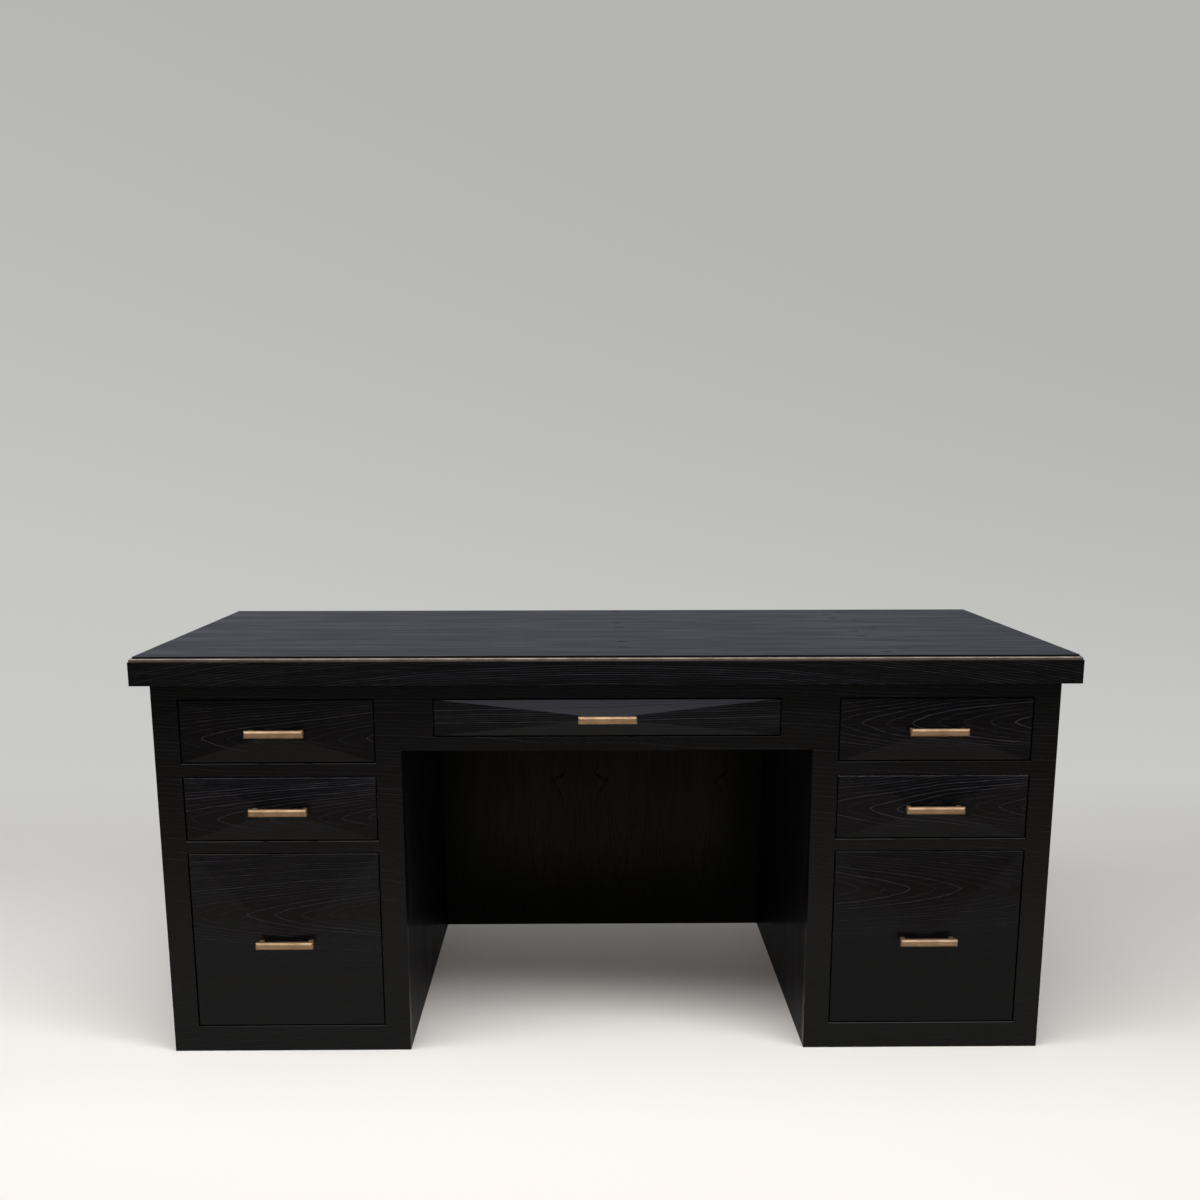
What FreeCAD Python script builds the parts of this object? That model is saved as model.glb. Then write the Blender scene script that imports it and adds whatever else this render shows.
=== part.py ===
import FreeCAD, Part
import math
import os
import re
import Sketcher

# Pedestal desk. Millimetres, +Z up, front towards -Y, X = 0 on the middle of the desk, Z = 0 on the floor.
# Y = 0 lies midway between the front of the pulls and the back edge of the top.

doc = FreeCAD.newDocument("PedestalDesk")
sheet = doc.addObject("Spreadsheet::Sheet", "Sizes")

# Driving dimensions: name, millimetres, meaning
sizes = [
    ("top_width", 1676, "width of the top"),
    ("top_depth", 762, "depth of the top"),
    ("desk_height", 749, "floor to writing surface"),
    ("slab_thickness", 51, "height of the edge of the top"),
    ("top_overhang", 27.5, "top beyond the carcass on every side"),
    ("panel_thickness", 18, "veneered top panel"),
    ("panel_inset", 7, "edge of the top panel behind the slab face"),
    ("panel_reveal", 3, "top panel above the bead"),
    ("band_width", 40, "edge band, across the grain"),
    ("bead_height", 6.2, "brass bead"),
    ("bead_setback", 1.8, "face of the bead behind the slab face"),
    ("bead_round", 3.2, "rounded arris of the bead"),
    ("board_thickness", 19, "sides, backs and bottoms"),
    ("frame_thickness", 22, "stiles and rails"),
    ("arris", 1, "eased front edges"),
    ("stile_width", 46, "pedestal stiles"),
    ("top_rail", 28, "rail under the top"),
    ("upper_rail", 24, "rail under the upper drawer"),
    ("lower_rail", 22, "rail over the file drawer"),
    ("bottom_rail", 49.5, "rail on the floor"),
    ("upper_opening", 117.5, "height of the upper drawer's opening"),
    ("middle_opening", 120.5, "height of the middle drawer's opening"),
    ("kneehole_width", 739, "between the pedestals"),
    ("center_opening", 70, "height of the centre drawer's opening"),
    ("center_width", 623, "width of the centre drawer's opening"),
    ("center_rail", 25, "rail under the centre drawer"),
    ("dust_thickness", 6, "panel under the centre drawer"),
    ("floor_gap", 6, "kneehole panel above the floor"),
    ("cleat_size", 19, "square cleats under the top"),
    ("drawer_gap", 2, "gap round a drawer front"),
    ("front_edge", 19, "drawer front at its rim"),
    ("front_raise", 10, "peak of a drawer front above its rim"),
    ("box_wall", 12, "sides and ends of a drawer box"),
    ("box_depth", 600, "drawer box, front to back"),
    ("box_lift", 8, "drawer box above the rail"),
    ("small_box", 100, "height of the upper and middle drawer boxes"),
    ("file_box", 260, "height of the file drawer boxes"),
    ("center_box", 56, "height of the centre drawer box"),
    ("bottom_thickness", 6, "drawer bottom"),
    ("bottom_rise", 9, "drawer bottom above the edge of the box"),
    ("groove_depth", 5, "groove for the drawer bottom"),
    ("tail_flare", 2, "splay of a dovetail on each flank"),
    ("pull_length", 104, "bar of a pull"),
    ("pull_height", 12.7, "bar of a pull"),
    ("pull_depth", 10, "bar of a pull"),
    ("pull_bevel", 3, "bevel round the face of the bar"),
    ("pull_standoff", 24, "back of the bar in front of the face frame"),
    ("post_spacing", 90, "posts, centre to centre"),
    ("post_size", 8, "square posts"),
    ("slide_length", 550, "slide, closed"),
    ("slide_height", 45, "slide"),
    ("slide_thickness", 12.7, "slide between packer and drawer"),
    ("slide_gauge", 1.2, "sheet of the slide members"),
    ("slide_race", 3.2, "ball race between two members"),
    ("cabinet_lip", 9.5, "lips of the cabinet member, from the packer"),
    ("middle_web", 2, "web of the middle member, from the packer"),
    ("middle_lip", 11, "lips of the middle member, from the packer"),
    ("drawer_lip", 4.2, "lips of the drawer member, from the packer"),
    ("slide_start", 24, "front of the slide behind the face of the frame"),
    ("packer_height", 60, "packer behind a slide"),
]
for row, (alias, value, meaning) in enumerate(sizes, start=1):
    sheet.set(f"A{row}", meaning)
    sheet.set(f"B{row}", str(value))
    sheet.setAlias(f"B{row}", alias)
doc.recompute()

# Lengths and places that follow from the driving dimensions
derived = {
    "slab_half": "top_width / 2",
    "pull_reach": "pull_standoff + pull_depth - top_overhang",
    "slab_front": "(pull_reach - top_depth) / 2",
    "slab_back": "(pull_reach + top_depth) / 2",
    "slab_base": "desk_height - slab_thickness",
    "panel_base": "desk_height - panel_thickness",
    "ledge": "desk_height - panel_reveal - bead_height",
    "outer_half": "slab_half - top_overhang",
    "inner_half": "kneehole_width / 2",
    "front_face": "slab_front + top_overhang",
    "frame_back": "front_face + frame_thickness",
    "back_face": "slab_back - top_overhang",
    "back_inside": "back_face - board_thickness",
    "outer_inside": "outer_half - board_thickness",
    "inner_inside": "inner_half + board_thickness",
    "pedestal_center": "(outer_half + inner_half) / 2",
    "pedestal_opening": "outer_half - inner_half - 2 * stile_width",
    "upper_top": "slab_base - top_rail",
    "upper_base": "upper_top - upper_opening",
    "middle_top": "upper_base - upper_rail",
    "middle_base": "middle_top - middle_opening",
    "file_top": "middle_base - lower_rail",
    "file_opening": "file_top - bottom_rail",
    "center_base": "upper_top - center_opening",
    "kneehole_top": "center_base - center_rail",
    "race_step": "slide_gauge + slide_race",
}

nodes = {}


def formula(text):
    # Named lengths become cells of the sheet.
    def swap(match):
        word = match.group()
        if word in derived:
            return "(" + formula(derived[word]) + ")"
        return "Sizes." + word
    return re.sub(r"[a-z][a-z_]*", swap, text)


def bind(obj, **lengths):
    for name, text in lengths.items():
        obj.setExpression(name, formula(text))


def place(obj, x="0", y="0", z="0", turn=0):
    # Turns about the vertical, then moves.
    obj.Placement = FreeCAD.Placement(FreeCAD.Vector(), FreeCAD.Rotation(FreeCAD.Vector(0, 0, 1), turn))
    for name, text in zip("xyz", (x, y, z)):
        obj.setExpression("Placement.Base." + name, formula(text))


def board(label, x, y, z):
    # Plain board between two limits on each axis.
    box = doc.addObject("Part::Box", label)
    box.Label = label
    for name, (low, high) in zip(("Length", "Width", "Height"), (x, y, z)):
        box.setExpression(name, formula(f"({high}) - ({low})"))
    place(box, x[0], y[0], z[0])
    return box


def new_body(label):
    body = doc.addObject("PartDesign::Body", label)
    body.Label = label
    return body


def outline(body, role, points, offset="0"):
    # Sketch on one of the body's planes, or beside it, with a closed outline.
    sketch = body.newObject("Sketcher::SketchObject", body.Name + "_outline")
    plane = next(item for item in body.Origin.OriginFeatures if item.Role == role)
    sketch.AttachmentSupport = [(plane, "")]
    sketch.MapMode = "FlatFace"
    sketch.setExpression("AttachmentOffset.Base.z", formula(offset))
    add_loop(sketch, points)
    return sketch


def add_loop(sketch, points):
    # Corners are dimensioned from the origin, and start on a ring until the sketch is solved.
    count = len(points)
    first = sketch.GeometryCount
    ring = [FreeCAD.Vector(math.cos(2 * math.pi * i / count), math.sin(2 * math.pi * i / count), 0)
            for i in range(count)]
    sketch.addGeometry([Part.LineSegment(ring[i], ring[(i + 1) % count]) for i in range(count)], False)
    sketch.addConstraint([Sketcher.Constraint("Coincident", first + i, 2, first + (i + 1) % count, 1)
                          for i in range(count)])
    for i, corner in enumerate(points):
        for kind, text in zip(("DistanceX", "DistanceY"), corner):
            index = sketch.addConstraint(Sketcher.Constraint(kind, -1, 1, first + i, 1, 1.0))
            sketch.setExpression(f"Constraints[{index}]", formula(text))


def pad(body, sketch, length, symmetric=False, backwards=False):
    feature = body.newObject("PartDesign::Pad", body.Name + "_pad")
    feature.Profile = sketch
    feature.SideType = "Symmetric" if symmetric else "One side"
    feature.Reversed = backwards
    bind(feature, Length=length)
    return feature


def pocket(body, sketch, length):
    # Cuts half its length to each side of the sketch.
    feature = body.newObject("PartDesign::Pocket", body.Name + "_pocket")
    feature.Profile = sketch
    feature.SideType = "Symmetric"
    bind(feature, Length=length)
    return feature


def ease(body, kind, amount, chosen):
    # Chamfer or fillet on the edges that a test picks from the body's last feature.
    doc.recompute()
    base = body.Tip
    names = [f"Edge{i}" for i, edge in enumerate(base.Shape.Edges, start=1) if chosen(edge)]
    feature = body.newObject("PartDesign::" + kind, body.Name + "_" + kind.lower())
    feature.Base = (base, names)
    bind(feature, **amount)
    return feature


def rectangle(half_width, half_height):
    corners = (("-1", "-1"), ("1", "-1"), ("1", "1"), ("-1", "1"))
    return [(f"{across} * ({half_width})", f"{up} * ({half_height})") for across, up in corners]


def mirrored(label, source, axis):
    # Copy on the other side of the plane through the origin square to an axis.
    copy = doc.addObject("Part::Mirroring", label)
    copy.Label = label
    copy.Source = source
    copy.Normal = axis
    return copy


def group(label, pieces):
    holder = doc.addObject("Part::Compound", label)
    holder.Label = label
    holder.Links = pieces
    return holder


def add_node(obj):
    nodes[obj.Label] = obj
    return obj


ACROSS = FreeCAD.Vector(1, 0, 0)
ALONG = FreeCAD.Vector(0, 1, 0)


def add_pair(obj):
    # A piece of the left half, and its twin on the right.
    add_node(obj)
    add_node(mirrored(obj.Label.replace("left", "right"), obj, ACROSS))


# Top: panel, core, and mitred edge bands with a brass bead on their ledge
def mitred_strip(label, length, profile, rounded=None):
    # Lies along X with its outer face on Y = 0, and runs inwards towards +Y.
    body = new_body(label)
    pad(body, outline(body, "YZ_Plane", profile), length, symmetric=True)
    if rounded:
        ease(body, "Fillet", {"Radius": rounded}, is_outer_top)
    ends = outline(body, "XY_Plane", mitre(length, "1"))
    add_loop(ends, mitre(length, "-1"))
    pocket(body, ends, "2 * slab_thickness")
    return body


def mitre(length, side):
    # Waste at one end, outside a line at 45 degrees through the outer corner.
    return [(f"{side} * ({length}) / 2", "0"),
            (f"{side} * (({length}) / 2 - 2 * band_width)", "2 * band_width"),
            (f"{side} * ({length}) / 2", "2 * band_width")]


def is_outer_top(edge):
    box = edge.BoundBox
    outermost = abs(box.YMin) < 1e-6 and abs(box.YMax) < 1e-6
    return outermost and box.ZMin > 1 and box.XLength > 1


def build_top():
    plan = rectangle("slab_half - panel_inset", "top_depth / 2 - panel_inset")
    panel = new_body("top_panel")
    pad(panel, outline(panel, "XY_Plane", plan), "panel_thickness")
    place(panel, y="pull_reach / 2", z="panel_base")
    add_node(panel)
    add_node(board("top_core", ("band_width - slab_half", "slab_half - band_width"),
                   ("slab_front + band_width", "slab_back - band_width"), ("slab_base", "panel_base")))

    band = [("0", "0"), ("band_width", "0"), ("band_width", "panel_base - slab_base"),
            ("panel_inset", "panel_base - slab_base"), ("panel_inset", "ledge - slab_base"),
            ("0", "ledge - slab_base")]
    bead_width = "panel_inset - bead_setback"
    bead = [("0", "0"), (bead_width, "0"), (bead_width, "bead_height"), ("0", "bead_height")]
    sides = [("front", "top_width", "0", "slab_front", 0), ("back", "top_width", "0", "slab_back", 180),
             ("left", "top_depth", "-1 * slab_half", "pull_reach / 2", -90),
             ("right", "top_depth", "slab_half", "pull_reach / 2", 90)]
    beads = []
    for side, length, x, y, turn in sides:
        strip = mitred_strip("edge_band_" + side, length, band)
        place(strip, x, y, "slab_base", turn)
        add_node(strip)
        strip = mitred_strip("bead_" + side, f"{length} - 2 * bead_setback", bead, rounded="bead_round")
        shift = {0: ("0", "1"), 180: ("0", "-1"), -90: ("1", "0"), 90: ("-1", "0")}[turn]
        place(strip, f"{x} + {shift[0]} * bead_setback", f"{y} + {shift[1]} * bead_setback", "ledge", turn)
        beads.append(strip)
    add_node(group("brass_bead", beads))


# Carcass: pedestals, face frames, kneehole panel
def rail(label, length, x, base, height):
    # Front rail with an eased upper arris, running along X.
    body = new_body(label)
    section = [("0", "0"), ("frame_thickness", "0"), ("frame_thickness", height), ("arris", height),
               ("0", f"{height} - arris")]
    pad(body, outline(body, "YZ_Plane", section), length, symmetric=True)
    place(body, x, "front_face", base)
    return body


def stile(label, x, z):
    return board(label, x, ("front_face", "frame_back"), z)


def build_pedestal():
    full = ("0", "slab_base")
    inside = ("frame_back", "back_inside")
    between = ("-1 * outer_inside", "-1 * inner_inside")
    deep = ("frame_back", "back_face")
    add_pair(board("left_outer_side", ("-1 * outer_half", "-1 * outer_inside"), deep, full))
    add_pair(board("left_inner_side", ("-1 * inner_inside", "-1 * inner_half"), deep, full))
    add_pair(board("left_back", between, ("back_inside", "back_face"), full))
    add_pair(board("left_bottom", between, inside, ("0", "board_thickness")))
    cleat = ("slab_base - cleat_size", "slab_base")
    add_pair(group("left_top_cleats", [
        board("outer_cleat", ("-1 * outer_inside", "cleat_size - outer_inside"), inside, cleat),
        board("inner_cleat", ("-1 * inner_inside - cleat_size", "-1 * inner_inside"), inside, cleat)]))
    pieces = [stile("outer_stile", ("-1 * outer_half", "stile_width - outer_half"), full),
              stile("inner_stile", ("-1 * inner_half - stile_width", "-1 * inner_half"), full)]
    rails = [("bottom", "0", "bottom_rail"), ("lower", "file_top", "lower_rail"),
             ("upper", "middle_top", "upper_rail"), ("top", "upper_top", "top_rail")]
    for name, base, height in rails:
        pieces.append(rail(name + "_rail", "pedestal_opening", "-1 * pedestal_center", base, height))
    add_pair(group("left_face_frame", pieces))


def build_center():
    kneehole = ("-1 * inner_half", "inner_half")
    add_node(board("kneehole_panel", kneehole, ("back_inside", "back_face"), ("floor_gap", "slab_base")))
    add_node(board("center_dust_panel", kneehole, ("frame_back", "back_inside"),
                   ("kneehole_top", "kneehole_top + dust_thickness")))
    upright = ("kneehole_top", "slab_base")
    left = stile("center_stile", ("-1 * inner_half", "-1 * center_width / 2"), upright)
    add_node(group("center_face_frame", [
        left, mirrored("center_stile_twin", left, ACROSS),
        rail("center_lower_rail", "center_width", "0", "kneehole_top", "center_rail"),
        rail("center_top_rail", "center_width", "0", "upper_top", "top_rail")]))


# Drawer front: a slab whose four facets rise from an eased rim to a peak in the middle
def drawer_front(label, half_width, half_height):
    # The gable gives the upper and lower facets, and the cut through it the other two.
    body = new_body(label)
    slope = facet(half_height)
    gable = slope + [(y, f"-1 * {z}") for y, z in reversed(slope[:-1])]
    gable += [("front_edge", f"-1 * {half_height}"), ("front_edge", half_height)]
    pad(body, outline(body, "YZ_Plane", gable), f"2 * {half_width}", symmetric=True)
    slope = [(x, y) for y, x in facet(half_width)]
    waste = slope + [(f"-1 * {x}", y) for x, y in reversed(slope[:-1])]
    waste += [(f"-1 * {half_width}", "-2 * front_raise"), (half_width, "-2 * front_raise")]
    pocket(body, outline(body, "XY_Plane", waste), f"4 * {half_height}")
    return body


def facet(reach):
    # From the rim to the peak: depth, and distance from the middle.
    return [("arris", reach), (f"-1 * front_raise * arris / {reach}", f"({reach} - arris)"),
            ("-1 * front_raise", "0")]


# Pull: bevelled bar on two posts whose feet are cut to the slope of the facets
def pull(label, half_width):
    bar = new_body(label + "_bar")
    pad(bar, outline(bar, "XZ_Plane", rectangle("pull_length / 2", "pull_height / 2")), "pull_depth")
    ease(bar, "Chamfer", {"Size": "pull_bevel"}, is_face_edge)
    near = "(post_spacing - post_size) / 2"
    far = "(post_spacing + post_size) / 2"
    foot = "pull_standoff - front_raise * (1 - ({}) / (" + half_width + "))"
    post = new_body(label + "_post")
    plan = [(near, "0"), (far, "0"), (far, foot.format(far)), (near, foot.format(near))]
    pad(post, outline(post, "XY_Plane", plan), "post_size", symmetric=True)
    return group(label, [bar, post, mirrored(label + "_post_twin", post, ACROSS)])


def is_face_edge(edge):
    return edge.BoundBox.YMax < -1


# Drawer box: dovetailed sides and ends round a bottom let into grooves, Y = 0 halfway along it
def tails(count, height):
    # Level of the middle of each tail, and half its width at the root.
    pitch = f"({height}) / {count}"
    return [(f"{2 * i + 1} * {pitch} / 2", f"{pitch} / 4") for i in range(count)]


def box_side(label, count, height):
    body = new_body(label)
    shoulder = "box_depth / 2 - box_wall"
    tip = "box_depth / 2"
    end = [(shoulder, "0")]
    for level, root in tails(count, height):
        end += [(shoulder, f"{level} - {root}"), (tip, f"{level} - {root} - tail_flare"),
                (tip, f"{level} + {root} + tail_flare"), (shoulder, f"{level} + {root}")]
    end.append((shoulder, height))
    other = [(f"-1 * ({y})", z) for y, z in reversed(end)]
    pad(body, outline(body, "YZ_Plane", end + other), "box_wall")
    pocket(body, outline(body, "XZ_Plane", groove()), "box_depth - 2 * (box_wall - groove_depth)")
    return body


def box_end(label, count, height, half_width):
    # Outer face on Y = 0; the sockets take the tails of the sides.
    body = new_body(label)
    face = [(f"-1 * {half_width}", "0"), (half_width, "0"), (half_width, height),
            (f"-1 * {half_width}", height)]
    pad(body, outline(body, "XZ_Plane", face), "box_wall", backwards=True)
    for side in ("1", "-1"):
        sockets = outline(body, "YZ_Plane", [], f"{side} * ({half_width} - box_wall / 2)")
        for level, root in tails(count, height):
            add_loop(sockets, [("0", f"{level} - {root} - tail_flare"), ("box_wall", f"{level} - {root}"),
                               ("box_wall", f"{level} + {root}"), ("0", f"{level} + {root} + tail_flare")])
        pocket(body, sockets, "box_wall")
    pocket(body, outline(body, "YZ_Plane", groove()), f"2 * ({half_width} - box_wall + groove_depth)")
    return body


def groove():
    return [("box_wall - groove_depth", "bottom_rise"), ("box_wall", "bottom_rise"),
            ("box_wall", "bottom_rise + bottom_thickness"),
            ("box_wall - groove_depth", "bottom_rise + bottom_thickness")]


def drawer_box(label, count, height, half_width):
    side = box_side(label + "_side", count, height)
    place(side, f"-1 * {half_width}")
    end = box_end(label + "_end", count, height, half_width)
    place(end, y="-1 * box_depth / 2")
    reach = "box_wall - groove_depth"
    bottom = board(label + "_bottom", (f"{reach} - {half_width}", f"{half_width} - ({reach})"),
                   (f"{reach} - box_depth / 2", f"box_depth / 2 - ({reach})"),
                   ("bottom_rise", "bottom_rise + bottom_thickness"))
    return group(label, [side, mirrored(label + "_side_twin", side, ACROSS),
                         end, mirrored(label + "_end_twin", end, ALONG), bottom])


# Telescopic slide: three nested channels, X = 0 on the packer, Z = 0 halfway up
channels = {
    "cabinet": ("0", "slide_gauge", "cabinet_lip", "slide_height"),
    "middle": ("middle_web", "middle_web + slide_gauge", "middle_lip", "slide_height - 2 * race_step"),
    "drawer": ("slide_thickness", "slide_thickness - slide_gauge", "drawer_lip",
               "slide_height - 4 * race_step"),
}


def slide_member(label, kind, half_opening):
    # One member on each side of a drawer.
    back, inner, lip, height = channels[kind]
    edge = f"({height}) / 2"
    lower = [(back, f"-1 * {edge}"), (lip, f"-1 * {edge}"), (lip, f"slide_gauge - {edge}"),
             (inner, f"slide_gauge - {edge}")]
    upper = [(x, f"-1 * ({z})") for x, z in reversed(lower)]
    body = new_body(label + "_channel")
    pad(body, outline(body, "XZ_Plane", lower + upper), "slide_length", backwards=True)
    place(body, f"-1 * ({half_opening})")
    return group(label, [body, mirrored(label + "_twin", body, ACROSS)])


def packers(label, half_opening, width):
    packer = board(label + "_packer", (f"-1 * ({half_opening}) - ({width})", f"-1 * ({half_opening})"),
                   ("0", "slide_length"), ("-1 * packer_height / 2", "packer_height / 2"))
    return group(label, [packer, mirrored(label + "_packer_twin", packer, ACROSS)])


# Drawers: place, middle, half width, base and height of the opening, box height, tails, packer width
stack = ("-1 * pedestal_center", "pedestal_opening / 2")
packing = "stile_width - board_thickness"
drawers = [
    ("left_upper", *stack, "upper_base", "upper_opening", "small_box", 3, packing),
    ("left_middle", *stack, "middle_base", "middle_opening", "small_box", 3, packing),
    ("left_file", *stack, "bottom_rail", "file_opening", "file_box", 8, packing),
    ("center", "0", "center_width / 2", "center_base", "center_opening", "center_box", 2,
     "inner_half - center_width / 2"),
]


def build_drawers():
    fixed = {"slide_cabinet_members": [], "slide_packers": []}
    for spot, x, half_opening, base, opening, height, count, width in drawers:
        add = add_node if spot == "center" else add_pair
        half_front = f"({half_opening} - drawer_gap)"
        half_box = f"({half_opening} - slide_thickness)"
        middle = f"{base} + {opening} / 2"
        front = drawer_front("drawer_front_" + spot, half_front, f"({opening} / 2 - drawer_gap)")
        place(front, x, "front_face", middle)
        add(front)
        handle = pull("pull_" + spot, half_front)
        place(handle, x, "front_face - pull_standoff", middle)
        add(handle)
        box = drawer_box("drawer_box_" + spot, count, height, half_box)
        place(box, x, "front_face + front_edge + box_depth / 2", f"{base} + box_lift")
        add(box)
        level = f"{base} + box_lift + {height} / 2"
        for kind in ("drawer", "middle"):
            member = slide_member(f"slide_{kind}_{spot}", kind, half_opening)
            place(member, x, "front_face + slide_start", level)
            add(member)
        pieces = [slide_member("slide_cabinet_" + spot, "cabinet", half_opening),
                  packers("packers_" + spot, half_opening, width)]
        for piece, (label, members) in zip(pieces, fixed.items()):
            place(piece, x, "front_face + slide_start", level)
            members.append(piece)
            if spot != "center":
                members.append(mirrored(piece.Label.replace("left", "right"), piece, ACROSS))
    for label, members in fixed.items():
        add_node(group(label, members))


def check_model():
    for obj in doc.Objects:
        if "Invalid" in obj.State or "Error" in obj.State:
            raise RuntimeError("not built: " + obj.Name)
        if obj.TypeId == "PartDesign::Pocket" and obj.Shape.Volume > obj.BaseFeature.Shape.Volume - 1:
            raise RuntimeError("cuts nothing: " + obj.Name)
    for label, obj in nodes.items():
        if obj.Shape.isNull() or not obj.Shape.isValid():
            raise RuntimeError("bad shape: " + label)


build_top()
build_pedestal()
build_center()
build_drawers()
doc.recompute()
check_model()

os.makedirs("parts", exist_ok=True)
for label, obj in nodes.items():
    obj.Shape.exportStep(f"parts/{label}.step")
    print(label, len(obj.Shape.Solids), round(obj.Shape.Volume / 1000), "cm3")
print(len(nodes), "nodes")
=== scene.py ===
import math

import bpy
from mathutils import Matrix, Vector


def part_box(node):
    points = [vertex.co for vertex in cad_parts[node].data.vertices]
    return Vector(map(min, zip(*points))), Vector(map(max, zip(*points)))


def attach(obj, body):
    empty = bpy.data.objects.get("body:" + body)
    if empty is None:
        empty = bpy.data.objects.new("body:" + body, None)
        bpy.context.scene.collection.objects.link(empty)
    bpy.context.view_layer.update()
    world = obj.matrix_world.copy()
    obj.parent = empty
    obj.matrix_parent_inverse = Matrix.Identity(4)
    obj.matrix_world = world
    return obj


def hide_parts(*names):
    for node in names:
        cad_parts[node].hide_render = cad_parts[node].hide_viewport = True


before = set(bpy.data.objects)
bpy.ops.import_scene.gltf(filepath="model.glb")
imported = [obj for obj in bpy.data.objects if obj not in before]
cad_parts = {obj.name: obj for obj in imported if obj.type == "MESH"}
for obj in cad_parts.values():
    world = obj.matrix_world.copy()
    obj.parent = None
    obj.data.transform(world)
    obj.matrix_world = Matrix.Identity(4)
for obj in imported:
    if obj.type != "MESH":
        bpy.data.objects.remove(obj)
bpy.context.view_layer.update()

scene = bpy.context.scene
scene.view_settings.view_transform = "Standard"
bpy.ops.object.select_all(action="DESELECT")
spots = ["left_upper", "left_middle", "left_file", "right_upper", "right_middle", "right_file", "center"]

# camera in front of the desk, above the height of its top and tipped down a little
view = {"place": (-0.0390, -2.7151, 1.0782), "turn": (77.730, 0.067, -0.649),
        "lens": 40.41, "sensor": 36, "shift": (-0.0002, 0.1303)}

bpy.ops.object.camera_add(location=view["place"], rotation=[math.radians(a) for a in view["turn"]])
deskCamera = bpy.context.object
deskCamera.data.sensor_width = view["sensor"]
deskCamera.data.lens = view["lens"]
deskCamera.data.shift_x, deskCamera.data.shift_y = view["shift"]
scene.camera = deskCamera
print("camera set")


# helpers for node trees: another node's socket is linked, anything else is set as the value
def feed(tree, node, inputs):
    for name, value in inputs.items():
        if isinstance(value, bpy.types.NodeSocket):
            tree.links.new(value, node.inputs[name])
        else:
            node.inputs[name].default_value = value


def put(tree, kind, inputs=None, **settings):
    node = tree.nodes.new("ShaderNode" + kind)
    for name, value in settings.items():
        setattr(node, name, value)
    feed(tree, node, inputs or {})
    return node


def calc(tree, operation, *values, clamp=False):
    inputs = dict(enumerate(values[:2]))
    result = put(tree, "Math", inputs, operation=operation, use_clamp=clamp).outputs[0]
    if len(values) > 2:  # the rest in turn
        return calc(tree, operation, result, *values[2:], clamp=clamp)
    return result


def plus(tree, *values):
    return calc(tree, "ADD", *values)


def times(tree, *values, clamp=False):
    return calc(tree, "MULTIPLY", *values, clamp=clamp)


def split(tree, vector):
    return put(tree, "SeparateXYZ", {0: vector}).outputs


def joinAxes(tree, x, y, z):
    return put(tree, "CombineXYZ", {0: x, 1: y, 2: z}).outputs[0]


def objectPlace(tree):
    return put(tree, "TexCoord").outputs["Object"]


def stretch(tree, vector, factors):
    return put(tree, "VectorMath", {0: vector, 1: factors}, operation="MULTIPLY").outputs[0]


def noise(tree, vector, factors, detail=2.0, rough=0.5):
    inputs = {"Vector": stretch(tree, vector, factors), "Scale": 1.0, "Detail": detail, "Roughness": rough}
    return put(tree, "TexNoise", inputs).outputs["Fac"]


def wave(tree, vector, *settings):  # noise that swings about nought
    return calc(tree, "SUBTRACT", noise(tree, vector, *settings), 0.5)


def band(tree, value, low, high, toLow=0.0, toHigh=1.0):
    inputs = {0: value, 1: low, 2: high, 3: toLow, 4: toHigh}
    return put(tree, "MapRange", inputs, interpolation_type="SMOOTHSTEP").outputs[0]


def blendColor(tree, mask, dark, light, **settings):
    return put(tree, "Mix", {0: mask, 6: dark, 7: light}, data_type="RGBA", **settings).outputs[2]


def blendVector(tree, mask, first, second):
    return put(tree, "Mix", {0: mask, 4: first, 5: second}, data_type="VECTOR").outputs[1]


def bumped(tree, height, strength, distance):
    return put(tree, "Bump", {"Height": height, "Strength": strength, "Distance": distance})


def grey(tone):
    return (tone, tone, tone, 1)


def newMaterial(name):
    material = bpy.data.materials.new(name)
    material.use_nodes = True
    return material, material.node_tree, material.node_tree.nodes["Principled BSDF"]


# a group's inputs are given with their usual values, None for a vector
def newGroup(name, inputs, outputs):
    tree = bpy.data.node_groups.new(name, "ShaderNodeTree")
    for label, value in inputs.items():
        kind = "NodeSocketVector" if value is None else "NodeSocketFloat"
        socket = tree.interface.new_socket(name=label, in_out="INPUT", socket_type=kind)
        if value is not None:
            socket.default_value = value
    for label in outputs:
        kind = "NodeSocketVector" if label == "Normal" else "NodeSocketFloat"
        tree.interface.new_socket(name=label, in_out="OUTPUT", socket_type=kind)
    return tree, tree.nodes.new("NodeGroupInput").outputs, tree.nodes.new("NodeGroupOutput")


def useGroup(tree, group, vector, **values):
    return put(tree, "Group", dict(values, Vector=vector), node_tree=group).outputs


# plain-sawn open grain: rings of a leaning trunk cut by the board
# the vector runs x along the grain, y across it, z into the board
openGrain = {
    # noises: how often along the axes, detail, roughness
    "bend": ((4.5, 3.0, 3.0), 2.0), "slow": ((2.6, 9.0, 9.0), 1.5), "quick": ((30.0, 110.0, 110.0), 2.0),
    "gaps": ((40.0, 130.0, 130.0), 3.0, 0.6), "pores": ((70.0, 1500.0, 1500.0), 1.0),
    "fibre": ((9.0, 320.0, 320.0), 3.0, 0.6), "streak": ((4.5, 70.0, 70.0), 3.0, 0.65),
    "tone": ((1.7, 5.0, 5.0), 2.0),
    # waviness of the rings and the thin line of pores that each one has
    "slowShare": 0.3, "quickReach": 0.0008, "tipRound": 0.000002, "pinchShare": 0.5, "flattest": 0.05,
    "lineRise": (0.0, 0.0005), "lineFall": (0.0006, 0.0022), "yearPower": 2.4, "weakYear": 0.23,
    "gapBand": (0.36, 0.62, 0.6, 1.0), "poreBand": (0.52, 0.66), "loosePores": 0.15,
    # depths in millimetres
    "fibreHigh": 0.03, "poreDeep": 0.12, "lineDeep": 0.10}


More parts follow.
